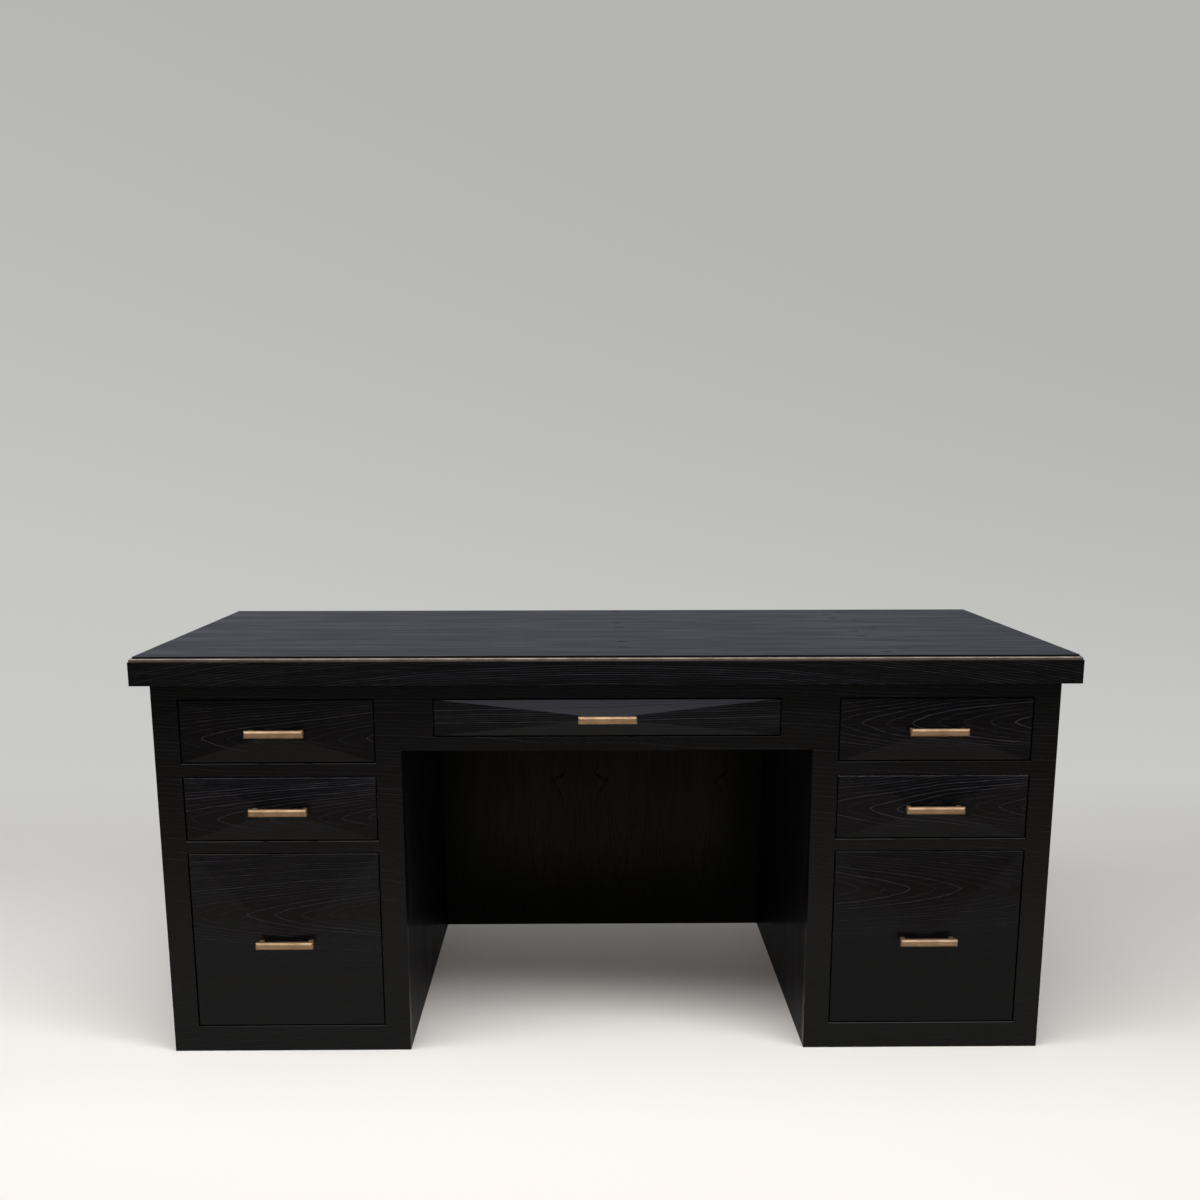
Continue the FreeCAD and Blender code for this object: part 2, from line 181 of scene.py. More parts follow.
def grainGroup():
    shape = openGrain
    inputs = {"Vector": None, "Heart": 0.0, "Depth": 0.12, "Lean": 0.03, "Ring": 0.0028, "Year": 0.0,
              "Wander": 0.02, "Knot": 0.0, "Pinch": 0.0}
    tree, given, out = newGroup("openGrain", inputs, ["Line", "Fibre", "Streak", "Tone", "Height"])
    vector = given["Vector"]
    bendWave = wave(tree, vector, *shape["bend"])
    slowWave = wave(tree, vector, *shape["slow"])
    quickWave = wave(tree, vector, *shape["quick"])
    along, over, into = split(tree, vector)
    across = calc(tree, "SUBTRACT", over, given["Heart"])
    across = plus(tree, across, times(tree, bendWave, given["Wander"]))
    slowReach = times(tree, given["Wander"], shape["slowShare"])
    inward = plus(tree, into, given["Depth"], times(tree, along, given["Lean"]),
                  times(tree, slowWave, slowReach))
    # pinch draws the arches out to a point
    side = calc(tree, "SQRT", plus(tree, times(tree, across, across), shape["tipRound"]))
    pinched = times(tree, calc(tree, "ABSOLUTE", inward), given["Pinch"])
    squares = plus(tree, times(tree, side, side), times(tree, inward, inward))
    radius = calc(tree, "SQRT", plus(tree, squares, times(tree, side, pinched)))
    wavy = plus(tree, radius, times(tree, quickWave, shape["quickReach"]), given["Knot"])
    phase = calc(tree, "DIVIDE", wavy, given["Ring"])
    ringYear = plus(tree, calc(tree, "FLOOR", phase), given["Year"])
    year = put(tree, "TexWhiteNoise", {"W": ringYear}, noise_dimensions="1D").outputs["Value"]
    # a ring cut at a slant spreads, but its pore line stays thin
    leaning = times(tree, inward, given["Lean"])
    sideways = plus(tree, side, times(tree, pinched, shape["pinchShare"]))
    squares = plus(tree, times(tree, sideways, sideways), times(tree, leaning, leaning))
    slope = calc(tree, "DIVIDE", calc(tree, "SQRT", squares), radius)
    slope = calc(tree, "MAXIMUM", slope, shape["flattest"])
    width = calc(tree, "DIVIDE", times(tree, calc(tree, "FRACT", phase), given["Ring"]), slope)
    line = band(tree, width, *shape["lineRise"])
    line = times(tree, line, band(tree, width, *shape["lineFall"], 1.0, 0.0))
    strength = times(tree, calc(tree, "POWER", year, shape["yearPower"]), 1 - shape["weakYear"])
    strength = plus(tree, strength, shape["weakYear"])
    broken = band(tree, noise(tree, vector, *shape["gaps"]), *shape["gapBand"])
    line = times(tree, line, strength, broken)
    pores = band(tree, noise(tree, vector, *shape["pores"]), *shape["poreBand"])
    onLine = plus(tree, times(tree, line, 1 - shape["loosePores"]), shape["loosePores"])
    pores = times(tree, pores, onLine)
    fibre = noise(tree, vector, *shape["fibre"])
    height = calc(tree, "SUBTRACT", times(tree, fibre, shape["fibreHigh"]),
                  times(tree, pores, shape["poreDeep"]), times(tree, line, shape["lineDeep"]))
    feed(tree, out, {"Line": line, "Fibre": fibre, "Streak": noise(tree, vector, *shape["streak"]),
                     "Tone": noise(tree, vector, *shape["tone"]), "Height": height})
    return tree


# thin, slightly rubbed arrises
rubbedEdge = {"samples": 4, "edge": (0.995, 0.86), "gaps": ((60.0, 60.0, 60.0), 3.0),
              "gapBand": (0.34, 0.62, 0.25, 1.0)}


def wearGroup():
    shape = rubbedEdge
    tree, given, out = newGroup("rubbedEdge", {"Vector": None, "Reach": 0.001}, ["Mask", "Normal"])
    rounded = put(tree, "Bevel", {"Radius": given["Reach"]}, samples=shape["samples"]).outputs[0]
    flat = put(tree, "NewGeometry").outputs["Normal"]
    turned = put(tree, "VectorMath", {0: rounded, 1: flat}, operation="DOT_PRODUCT").outputs["Value"]
    gaps = band(tree, noise(tree, given["Vector"], *shape["gaps"]), *shape["gapBand"])
    feed(tree, out, {"Mask": times(tree, band(tree, turned, *shape["edge"]), gaps), "Normal": rounded})
    return tree


# cloudy marks left by hands and polishing cloths
rubMarks = {"cloud": ((9.0, 9.0, 9.0), 4.0, 0.55), "cloudBand": (0.3, 0.72)}


def marksGroup():
    tree, given, out = newGroup("rubMarks", {"Vector": None, "Size": 1.0}, ["Cloud"])
    sized = put(tree, "VectorMath", {0: given["Vector"], "Scale": given["Size"]}, operation="SCALE")
    cloud = noise(tree, sized.outputs[0], *rubMarks["cloud"])
    feed(tree, out, {"Cloud": band(tree, cloud, *rubMarks["cloudBand"])})
    return tree


# small sound knots scattered over a board, each pushing the rings aside
pinKnots = {"often": (4.2, 10.0, 1.0), "scatter": 0.85, "ragged": ((120.0, 260.0, 260.0), 3.0, 0.6),
            "raggedReach": 0.07, "eye": (0.058, 0.014), "push": (0.3, 0.0), "pushReach": 0.011}


def pinKnotGroup():
    shape = pinKnots
    tree, given, out = newGroup("pinKnots", {"Vector": None, "Share": 0.3}, ["Eye", "Push"])
    vector = given["Vector"]
    inputs = {"Vector": stretch(tree, vector, shape["often"]), "Scale": 1.0, "Randomness": shape["scatter"]}
    cells = put(tree, "TexVoronoi", inputs, voronoi_dimensions="2D").outputs
    chance = put(tree, "SeparateColor", {0: cells["Color"]}).outputs[0]
    kept = calc(tree, "LESS_THAN", chance, given["Share"])
    ragged = times(tree, wave(tree, vector, *shape["ragged"]), shape["raggedReach"])
    rim = plus(tree, cells["Distance"], ragged)
    eye = times(tree, band(tree, rim, *shape["eye"]), kept)
    push = times(tree, band(tree, cells["Distance"], *shape["push"]), kept, shape["pushReach"])
    feed(tree, out, {"Eye": eye, "Push": push})
    return tree


# one knot at a known place on the board
setKnot = {"squash": (0.55, 1.0, 0.0), "ragged": ((120.0, 190.0, 190.0), 3.0, 0.6), "raggedReach": 1.6,
           "eye": (1.1, 0.2), "push": (5.0, 0.0), "pushReach": 0.013}


def setKnotGroup():
    shape = setKnot
    tree, given, out = newGroup("setKnot", {"Vector": None, "At": None, "Reach": 0.008}, ["Eye", "Push"])
    vector = given["Vector"]
    offset = put(tree, "VectorMath", {0: vector, 1: given["At"]}, operation="SUBTRACT").outputs[0]
    squashed = stretch(tree, offset, shape["squash"])
    away = put(tree, "VectorMath", {0: squashed}, operation="LENGTH").outputs["Value"]
    away = calc(tree, "DIVIDE", away, given["Reach"])
    ragged = times(tree, wave(tree, vector, *shape["ragged"]), shape["raggedReach"])
    push = times(tree, band(tree, away, *shape["push"]), shape["pushReach"])
    feed(tree, out, {"Eye": band(tree, plus(tree, away, ragged), *shape["eye"]), "Push": push})
    return tree


grainTree = grainGroup()
wearTree = wearGroup()
marksTree = marksGroup()
knotTree = pinKnotGroup()
oneKnotTree = setKnotGroup()
print("node groups built")

# how each board's grain lies: turns bring the grain to x and the board's face to x-y
grainTurn = {"acrossFront": (-90, 0, 0), "acrossTop": (0, 0, 0), "upright": (90, 0, 90),
             "frontToBack": (-90, -90, 0)}


def boardVector(tree, lie, slant, veneer):
    x, y, z = grainTurn[lie]
    turn = [math.radians(a) for a in (x, y, z + slant)]
    mapping = put(tree, "Mapping", {"Vector": objectPlace(tree), "Rotation": turn})
    if veneer:  # a thin leaf shows one cut, whatever the facets do
        feed(tree, mapping, {"Scale": (1, 0, 1)})
    return mapping.outputs["Vector"]


# the grain that a board shows, by its place in the trunk
def cutGrain(tree, vector, look, **more):
    return useGroup(tree, grainTree, vector, Heart=look["heart"], Depth=look["depth"], Lean=look["lean"],
                    Ring=look["ring"], Wander=look["wander"], **more)


# veneer leaves laid side by side, every second one turned over
def bookMatch(tree, vector, seam, leafWidth):
    along, over, into = split(tree, vector)
    folded = calc(tree, "PINGPONG", calc(tree, "SUBTRACT", over, seam), leafWidth)
    return joinAxes(tree, along, folded, into)


# masks of the faces that look to a side or to the front
squareOn = 0.5


def facesSideways(tree):
    normal = split(tree, put(tree, "NewGeometry").outputs["True Normal"])
    return calc(tree, "GREATER_THAN", calc(tree, "ABSOLUTE", normal[0]), squareOn)


def facesFront(tree):
    normal = split(tree, put(tree, "NewGeometry").outputs["True Normal"])
    return calc(tree, "LESS_THAN", normal[1], -squareOn)


# black-stained ash: a satin lacquer film lies on the smooth wood and breaks at the open pores
ebony = {
    # where the board lay in the trunk, and how its veneer is laid
    "depth": 0.12, "lean": 0.03, "ring": 0.0032, "wander": 0.02, "slant": 0.0, "year": 0.0, "pinch": 0.0,
    "veneer": False, "leaf": None, "knots": 0.0, "knotAt": None, "knotTone": 0.7,
    # wood between the pore lines, the lines, rubbed arrises that are partly worn and partly a painted
    # highlight, knots, slow changes of tone
    "field": (0.0021, 0.0020, 0.0018, 1), "line": (0.033, 0.0305, 0.0395, 1),
    "wornAndGlint": (0.030, 0.029, 0.031, 1), "knotColor": grey(0.001), "shade": (grey(0.8), grey(1.2)),
    "gain": 1.0, "fibre": 0.22, "fibreBand": (0.45, 0.8), "lineBand": (0.3, 0.6, 0.45, 1.0), "reach": 0.0012,
    "rub": 0.6, "rimGlintUp": (0.05, 0.35), "seamFade": (0.002, 0.004), "grainDeep": (1.0, 0.001),
    # shine of the wood and of the film
    "shine": 0.02, "rough": (0.40, 0.46), "lineRough": 0.3, "knotRough": 0.8, "streak": 0.04,
    "streakBand": (0.33, 0.67), "film": 0.25, "gloss": 0.19, "lineOpen": 0.9, "rubOpen": 0.85,
    "haze": 0.0, "hazeRough": 0.45, "hazeTint": (0.42, 0.52, 1.0, 1),
    # for some boards only: painted shade that fades the pore lines lower down, a seam in one plane, faces
    # towards the kneehole with dark pore lines as painted shade, a painted highlight on the upper rim only
    "lowerShade": None, "flush": None, "inside": None, "upperRimGlint": False}


def ebonised(name, **changes):
    look = dict(ebony, **changes)
    material, tree, shader = newMaterial(name)
    vector = boardVector(tree, look["lie"], look["slant"], look["veneer"])
    if look["leaf"]:
        vector = bookMatch(tree, vector, *look["leaf"])
    if look["knotAt"]:
        knots = useGroup(tree, oneKnotTree, vector, At=look["knotAt"])
    else:
        knots = useGroup(tree, knotTree, vector, Share=look["knots"])
    eye = times(tree, knots["Eye"], look["knotTone"])
    push = knots["Push"]
    inside = look["inside"]
    if inside:  # knots only on the faces towards the kneehole
        mask = inside["faces"](tree)
        eye = times(tree, eye, mask)
        push = times(tree, push, mask)
    grain = cutGrain(tree, vector, look, Year=look["year"], Pinch=look["pinch"], Knot=push)
    marks = useGroup(tree, marksTree, vector)
    rubbed = useGroup(tree, wearTree, vector, Reach=look["reach"])
    # how far the pale pores show
    amount = times(tree, grain["Line"], band(tree, grain["Fibre"], *look["lineBand"]))
    amount = plus(tree, amount, band(tree, grain["Fibre"], *look["fibreBand"], 0.0, look["fibre"]))
    if look["lowerShade"]:  # painted shade: lower down, the pale pore lines of the leaf fade out
        amount = times(tree, amount, band(tree, split(tree, vector)[1], *look["lowerShade"], 1.0))
    amount = times(tree, amount, look["gain"], clamp=True)
    field, line, film = look["field"], look["line"], look["film"]
    # faces towards the kneehole take their own field and line; the dark lines there are painted shade
    if inside:
        field = blendColor(tree, mask, field, inside["field"])
        line = blendColor(tree, mask, line, inside["line"])
        film = band(tree, mask, 0.0, 1.0, film, inside["film"])
        amount = times(tree, amount, band(tree, mask, 0.0, 1.0, 1.0, inside["gain"]), clamp=True)
    color = blendColor(tree, amount, field, line)
    shade = blendColor(tree, grain["Tone"], *look["shade"])
    color = blendColor(tree, 1.0, color, shade, blend_type="MULTIPLY")
    color = blendColor(tree, eye, color, look["knotColor"])
    # the arrises take a paler colour, partly real wear and partly a painted highlight
    wearAndGlintMask = times(tree, rubbed["Mask"], look["rub"])
    arris = rubbed["Normal"]
    if look["upperRimGlint"]:  # only the upper rim, which faces the light, gets the painted highlight
        wearAndGlintMask = times(tree, wearAndGlintMask, band(tree, split(tree, arris)[2], *look["rimGlintUp"]))
    if look["flush"]:  # no arris where two frames meet in one plane
        outward = calc(tree, "ABSOLUTE", split(tree, objectPlace(tree))[0])
        off = calc(tree, "ABSOLUTE", calc(tree, "SUBTRACT", outward, look["flush"]))
        away = band(tree, off, *look["seamFade"])
        wearAndGlintMask = times(tree, wearAndGlintMask, away)
        arris = blendVector(tree, away, put(tree, "NewGeometry").outputs["Normal"], arris)
    color = blendColor(tree, wearAndGlintMask, color, look["wornAndGlint"])
    rough = band(tree, marks["Cloud"], 0.0, 1.0, *look["rough"])
    streak = times(tree, band(tree, grain["Streak"], *look["streakBand"]), look["streak"])
    rough = plus(tree, rough, times(tree, grain["Line"], look["lineRough"]), streak,
                 times(tree, eye, look["knotRough"]))
    bump = bumped(tree, grain["Height"], *look["grainDeep"])
    feed(tree, bump, {"Normal": arris})
    feed(tree, shader, {"Base Color": color, "Roughness": rough, "Normal": bump.outputs[0],
                        "Specular IOR Level": look["shine"]})
    if look["film"]:
        opened = calc(tree, "MAXIMUM", times(tree, amount, look["lineOpen"]), eye,
                      times(tree, rubbed["Mask"], look["rubOpen"]))
        closed = calc(tree, "SUBTRACT", 1.0, opened, clamp=True)
        feed(tree, shader, {"Coat Weight": times(tree, closed, film), "Coat Roughness": look["gloss"]})
    if look["haze"]:
        feed(tree, shader, {"Sheen Weight": look["haze"], "Sheen Roughness": look["hazeRough"],
                            "Sheen Tint": look["hazeTint"]})
    return material


def dress(names, material):
    for name in names:
        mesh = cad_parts[name].data
        mesh.materials.clear()
        mesh.materials.append(material)


# heart: the arches' middle line; leaf: a seam of the veneer and the width of its leaves
longEdge = dict(lie="acrossFront", heart=0.42, lean=0.27, ring=0.004, wander=0.010, film=0.13, gain=0.75)
outerSide = dict(lie="frontToBack", heart=0.095, lean=0.05, leaf=(0.0, 0.19), knots=0.1)
# faces towards the kneehole: a paler, warmer field and dark pore lines; the dark pore lines are painted
# shade
kneeholeBack = dict(faces=facesFront, field=(0.0062, 0.0057, 0.0042, 1), line=(0.0005, 0.0005, 0.0004, 1),
                    film=0.085, gain=2.4)
kneeholeSide = dict(faces=facesSideways, field=ebony["field"], line=ebony["line"], film=0.10, gain=1.0)
boards = {
    "ebonisedTop": (["top_panel"], dict(
        lie="acrossTop", heart=0.08, lean=0.012, ring=0.006, leaf=(-0.37, 0.152), knots=0.25,
        field=(0.0030, 0.0032, 0.0044, 1), line=(0.009, 0.0093, 0.0115, 1), shine=0.055, rough=(0.33, 0.34),
        streak=0.12, haze=0.066, film=0)),
    "ebonisedEdge": (["edge_band_front"], dict(longEdge, depth=-0.3777)),
    "ebonisedEdgeBack": (["edge_band_back"], dict(longEdge, depth=0.3843)),
    "ebonisedEdgeEnd": (["edge_band_left", "edge_band_right"], dict(
        lie="frontToBack", heart=0.5, depth=0.06, lean=0.0, ring=0.006, wander=0.05, slant=-3)),
    "ebonisedFrame": (["left_face_frame", "right_face_frame", "center_face_frame"], dict(
        lie="acrossFront", heart=0.2, depth=0.45, lean=0.02, gain=0.42, film=0.245, fibre=0.12,
        field=(0.0012, 0.0011, 0.0010, 1), wornAndGlint=(0.010, 0.0095, 0.010, 1),
        flush=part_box("center_face_frame")[1].x)),
    "ebonisedSide.left": (["left_outer_side"], dict(outerSide, depth=0.95)),
    "ebonisedSide.right": (["right_outer_side"], dict(outerSide, depth=-0.67)),
    "ebonisedUpright": (["kneehole_panel", "left_back", "right_back"], dict(
        lie="upright", heart=0.0945, depth=-0.4609, lean=0.035, ring=0.0024, leaf=(-0.0537, 0.189),
        knotAt=(0.357, 0.064, 0), knotTone=0.4, pinch=0.23, year=1036, inside=kneeholeBack)),
    "ebonisedInner": (["left_inner_side", "right_inner_side"], dict(
        lie="upright", heart=0.0, depth=0.5, shine=0.005, inside=kneeholeSide))}
for name, (nodes, look) in boards.items():
    dress(nodes, ebonised(name, **look))

# each drawer leaf shows its own arches
# tip: where a strong arch ends; lean: which way the arches point; year: which rings are strong
# lowerShade: heights between which the pore lines fade as painted shade; rim: tone of the painted highlight
# on the upper rim
leafCut = {"tipRings": 30, "shadedShare": 0.16}  # rings inside a strong arch, what stays of the pore lines under the painted shade
leafLook = dict(lie="acrossFront", ring=0.0028, wander=0.012, pinch=0.2, veneer=True, upperRimGlint=True,
                field=(0.0014, 0.0013, 0.0012, 1), fibre=0.10)
leaves = {
    "left_upper": dict(heart=0.599, tip=-0.717, lean=-0.06, year=5389, lowerShade=(0.566, 0.592),
                       film=0.20, gain=1.1, rim=0.03),
    "left_middle": dict(heart=0.452, tip=-0.80, lean=-0.06, year=5652, lowerShade=(0.420, 0.450),
                        film=0.21, gain=1.5, rim=0.32),
    "left_file": dict(heart=0.269, tip=-0.611, lean=-0.06, year=1048, lowerShade=(0.13, 0.25),
                      film=0.22, gain=1.15, rim=0.02),
    "right_upper": dict(heart=0.624, tip=0.450, lean=-0.06, year=3697, lowerShade=(0.566, 0.592),
                        film=0.20, gain=1.6, rim=0.03),
    "right_middle": dict(heart=0.468, tip=0.474, lean=-0.06, year=3625, lowerShade=(0.420, 0.450),
                         film=0.20, gain=1.25, rim=0.55),
    "right_file": dict(heart=0.314, tip=0.560, lean=0.06, year=4910, lowerShade=(0.16, 0.28),
                       film=0.175, gain=1.1, rim=0.04),
    "center": dict(heart=0.70, tip=0.9, lean=0.015, year=300, lowerShade=(0.608, 0.630),
                   film=0.265, gain=1.8, rim=0.02)}
for spot in spots:
    leaf = leaves[spot]
    look = dict(leafLook, **{word: leaf[word] for word in ("heart", "lean", "year", "film", "gain")})
    look["depth"] = leafCut["tipRings"] * leafLook["ring"] - leaf["lean"] * leaf["tip"]
    look["lowerShade"] = (*leaf["lowerShade"], leafCut["shadedShare"])
    # the upper rim's tone is a painted highlight, strongest on the middle drawers
    look["wornAndGlint"] = grey(leaf["rim"])
    dress(["drawer_front_" + spot], ebonised("ebonisedLeaf." + spot, **look))
print("ebonised boards dressed")

# aged satin brass under a clear lacquer that is worn in places
agedMetal = {"markSize": 4.0, "reach": 0.0006, "rub": 0.5, "brush": ((25.0, 2600.0, 2600.0), 2.0),
             "brushRough": 0.06, "brushDeep": (0.12, 0.0001), "film": (0.2, 0.4), "gloss": 0.22}
pullMetal = dict(agedMetal, dull=(0.28, 0.178, 0.094, 1), clear=(0.35, 0.225, 0.122, 1),
                 rubbed=(0.44, 0.31, 0.19, 1), rough=(0.62, 0.54))
beadMetal = dict(agedMetal, dull=(0.12, 0.092, 0.072, 1), clear=(0.18, 0.145, 0.115, 1),
                 rubbed=(0.22, 0.18, 0.145, 1), rough=(0.50, 0.42))


def brass(name, look):
    material, tree, shader = newMaterial(name)
    vector = objectPlace(tree)
    cloud = useGroup(tree, marksTree, vector, Size=look["markSize"])["Cloud"]
    rubbed = useGroup(tree, wearTree, vector, Reach=look["reach"])
    tarnish = blendColor(tree, cloud, look["dull"], look["clear"])
    color = blendColor(tree, times(tree, rubbed["Mask"], look["rub"]), tarnish, look["rubbed"])
    brushed = noise(tree, vector, *look["brush"])
    rough = plus(tree, band(tree, cloud, 0.0, 1.0, *look["rough"]), times(tree, brushed, look["brushRough"]))
    feed(tree, shader, {"Base Color": color, "Roughness": rough, "Metallic": 1.0,
                        "Normal": bumped(tree, brushed, *look["brushDeep"]).outputs[0],
                        "Coat Weight": band(tree, cloud, 0.0, 1.0, *look["film"]),
                        "Coat Roughness": look["gloss"]})
    return material


agedBrass = brass("agedBrass", pullMetal)
dress(["brass_bead"], brass("beadBrass", beadMetal))

# helpers for modelling
near = 0.00001  # reach of a test for points on a plane
softAngle = math.radians(25)  # flatter edges than this are smooth


def pick(piece, part, test):  # picks edges or points in edit mode
    bpy.ops.object.mode_set(mode="OBJECT")
    mesh = piece.data
    for items in (mesh.polygons, mesh.edges, mesh.vertices):
        items.foreach_set("select", [False] * len(items))
    for item in getattr(mesh, part):
        item.select = test(item)
    bpy.ops.object.mode_set(mode="EDIT")


def corner(piece, edge):
    return [piece.data.vertices[i].co for i in edge.vertices]


def takeOnly(piece):
    bpy.ops.object.select_all(action="DESELECT")
    piece.select_set(True)
    bpy.context.view_layer.objects.active = piece


def setPiece(piece, place):
    takeOnly(piece)
    piece.location = place
    bpy.ops.object.transform_apply(location=True, rotation=True, scale=True)


def copyPiece(source, name):
    takeOnly(source)
    bpy.ops.object.duplicate(linked=False)
    bpy.context.object.name = name
    return bpy.context.object


# bar pulls: a bar bevelled round its face, on two square posts cut to the slope of the drawer front
pullBar = {"length": 0.104, "height": 0.0127, "depth": 0.010, "bevel": 0.003, "soft": 0.0004,
           "standoff": 0.024, "post": 0.008, "postSoft": 0.0006, "spacing": 0.090, "raise": 0.010}


def isPostArris(ends, middle):
    half = pullBar["post"] / 2
    onArris = all(abs(abs(p.x - middle) - half) < near and abs(abs(p.z) - half) < near for p in ends)
    return onArris and abs(ends[0].y - ends[1].y) > half


def forgePull(name, halfWidth):
    bar = pullBar
    bpy.ops.object.select_all(action="DESELECT")
    bpy.ops.mesh.primitive_cube_add(size=1)
    pull = bpy.context.object
    pull.name = name
    bpy.ops.object.mode_set(mode="EDIT")
    bpy.ops.transform.resize(value=(bar["length"], bar["depth"], bar["height"]))
    bpy.ops.transform.translate(value=(0, -bar["standoff"] - bar["depth"] / 2, 0))
    bpy.ops.mesh.select_mode(type="EDGE")
    face = -bar["standoff"] - bar["depth"] + near
    pick(pull, "edges", lambda e: all(p.y < face for p in corner(pull, e)))
    bpy.ops.mesh.bevel(offset=bar["bevel"], segments=1, affect="EDGES")
    bpy.ops.mesh.select_all(action="SELECT")
    bpy.ops.mesh.bevel(offset=bar["soft"], segments=2, profile=0.7, affect="EDGES")
    # posts go from the back of the bar to the facets
    for side in (-1, 1):
        middle = side * bar["spacing"] / 2
        bpy.ops.mesh.select_all(action="DESELECT")
        bpy.ops.mesh.primitive_cube_add(size=1)
        bpy.ops.transform.resize(value=(bar["post"], bar["standoff"], bar["post"]))
        bpy.ops.transform.translate(value=(middle, -bar["standoff"] / 2, 0))
        for end in (-1, 1):
            x = middle + end * bar["post"] / 2
            bpy.ops.mesh.select_mode(type="VERT")
            pick(pull, "vertices", lambda v: abs(v.co.x - x) < near and abs(v.co.y) < near)
            bpy.ops.transform.translate(value=(0, -bar["raise"] * (1 - abs(x) / halfWidth), 0))
        bpy.ops.mesh.select_mode(type="EDGE")
        pick(pull, "edges", lambda e: isPostArris(corner(pull, e), middle))
        bpy.ops.mesh.bevel(offset=bar["postSoft"], segments=3, affect="EDGES")
    bpy.ops.object.mode_set(mode="OBJECT")
    bpy.ops.object.shade_smooth_by_angle(angle=softAngle)
    return pull


leafEdge = 0.019  # thickness of a drawer front at its rim
frontBox = {spot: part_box("drawer_front_" + spot) for spot in spots}
frontPlane = {spot: high.y - leafEdge for spot, (low, high) in frontBox.items()}
frontMiddle = {spot: (low + high) / 2 for spot, (low, high) in frontBox.items()}
frontHalf = {spot: (high.x - low.x) / 2 for spot, (low, high) in frontBox.items()}
pullShape = {"stack": forgePull("pullPattern.stack", frontHalf["left_upper"]),
             "center": forgePull("pullPattern.center", frontHalf["center"])}
for spot in spots:
    pull = copyPiece(pullShape["center" if spot == "center" else "stack"], "barPull." + spot)
    setPiece(pull, (frontMiddle[spot].x, frontPlane[spot], frontMiddle[spot].z))
    pull.data.materials.append(agedBrass)
    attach(pull, "drawer_" + spot)
    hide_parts("pull_" + spot)
for pattern in pullShape.values():
    bpy.data.objects.remove(pattern)
print("pulls forged")

# plain timber of the drawer boxes and hidden boards
timber = {"heart": 0.4, "depth": 0.09, "lean": 0.04, "wander": 0.03, "fibre": 0.35,
          "roughBand": (0.2, 0.8, 0.42, 0.56), "grainDeep": (0.3, 0.0002), "shine": 0.35}
boxWood = dict(timber, pale=(0.60, 0.45, 0.29, 1), dark=(0.42, 0.28, 0.16, 1), ring=0.012, contrast=0.5)
coreWood = dict(timber, pale=(0.46, 0.34, 0.22, 1), dark=(0.30, 0.20, 0.12, 1), ring=0.007, contrast=0.6)


def plainTimber(name, look):
    material, tree, shader = newMaterial(name)
    x, y, z = split(tree, objectPlace(tree))
    endBoard = joinAxes(tree, x, z, y)  # grain runs across
    sideBoard = joinAxes(tree, y, z, x)  # grain runs front to back
    vector = blendVector(tree, facesSideways(tree), endBoard, sideBoard)
    grain = cutGrain(tree, vector, look)
    amount = times(tree, grain["Line"], look["contrast"])
    amount = plus(tree, amount, times(tree, grain["Fibre"], look["fibre"]))
    feed(tree, shader, {"Base Color": blendColor(tree, amount, look["pale"], look["dark"]),
                        "Roughness": band(tree, grain["Fibre"], *look["roughBand"]),
                        "Normal": bumped(tree, grain["Height"], *look["grainDeep"]).outputs[0],
                        "Specular IOR Level": look["shine"]})
    return material


boxTimber = plainTimber("drawerMaple", boxWood)
coreTimber = plainTimber("coreTimber", coreWood)
dress(["drawer_box_" + spot for spot in spots], boxTimber)
dress(["top_core", "slide_packers", "left_top_cleats", "right_top_cleats", "center_dust_panel",
       "left_bottom", "right_bottom"], coreTimber)

# zinc-plated slides and screws
zinc = {"dull": (0.48, 0.49, 0.50, 1), "bright": (0.66, 0.67, 0.68, 1), "markSize": 3.0,
        "rolled": ((900.0, 8.0, 900.0), 2.0), "roughBand": (0.2, 0.8, 0.26, 0.42)}


def platedSteel(name):
    material, tree, shader = newMaterial(name)
    vector = objectPlace(tree)
    cloud = useGroup(tree, marksTree, vector, Size=zinc["markSize"])["Cloud"]
    rolled = noise(tree, vector, *zinc["rolled"])
    feed(tree, shader, {"Base Color": blendColor(tree, cloud, zinc["dull"], zinc["bright"]),
                        "Roughness": band(tree, rolled, *zinc["roughBand"]), "Metallic": 1.0})
    return material


slideSteel = platedSteel("zincSteel")
dress(["slide_cabinet_members"], slideSteel)
dress(["slide_drawer_" + spot for spot in spots], slideSteel)
dress(["slide_middle_" + spot for spot in spots], slideSteel)

# pan heads, inside the drawer box, of the screws that hold each pull; cutter: height of the recess's block
pullScrew = {"radius": 0.0035, "height": 0.0022, "sides": 32, "dome": 0.0014, "slot": 0.0042,
             "slotWidth": 0.0009, "cutter": 0.002, "behind": 0.031}


def turnScrew(name):
    screw = pullScrew
    bpy.ops.object.select_all(action="DESELECT")
    bpy.ops.mesh.primitive_cylinder_add(vertices=screw["sides"], radius=screw["radius"],
                                        depth=screw["height"])
    head = bpy.context.object
    head.name = name
    bpy.ops.object.mode_set(mode="EDIT")
    bpy.ops.transform.rotate(value=math.pi / 2, orient_axis="X", center_override=(0, 0, 0))
    bpy.ops.transform.translate(value=(0, screw["height"] / 2, 0))
    bpy.ops.mesh.select_mode(type="EDGE")
    pick(head, "edges", lambda e: all(p.y > screw["height"] - near for p in corner(head, e)))
    bpy.ops.mesh.bevel(offset=screw["dome"], segments=4, affect="EDGES")
    bpy.ops.object.mode_set(mode="OBJECT")
    # cross recess
    long, thin, deep = screw["slot"], screw["slotWidth"], screw["cutter"]
    for arm in ((long, deep, thin), (thin, deep, long)):
        bpy.ops.mesh.primitive_cube_add(size=1, location=(0, screw["height"], 0), scale=arm)
        driver = bpy.context.object
        cut = head.modifiers.new("crossRecess", "BOOLEAN")
        cut.operation = "DIFFERENCE"
        cut.object = driver
        driver.select_set(False)
        bpy.context.view_layer.objects.active = head
        bpy.ops.object.modifier_apply(modifier=cut.name)
        bpy.data.objects.remove(driver)
    head.select_set(True)
    bpy.ops.object.shade_smooth_by_angle(angle=softAngle)
    return head


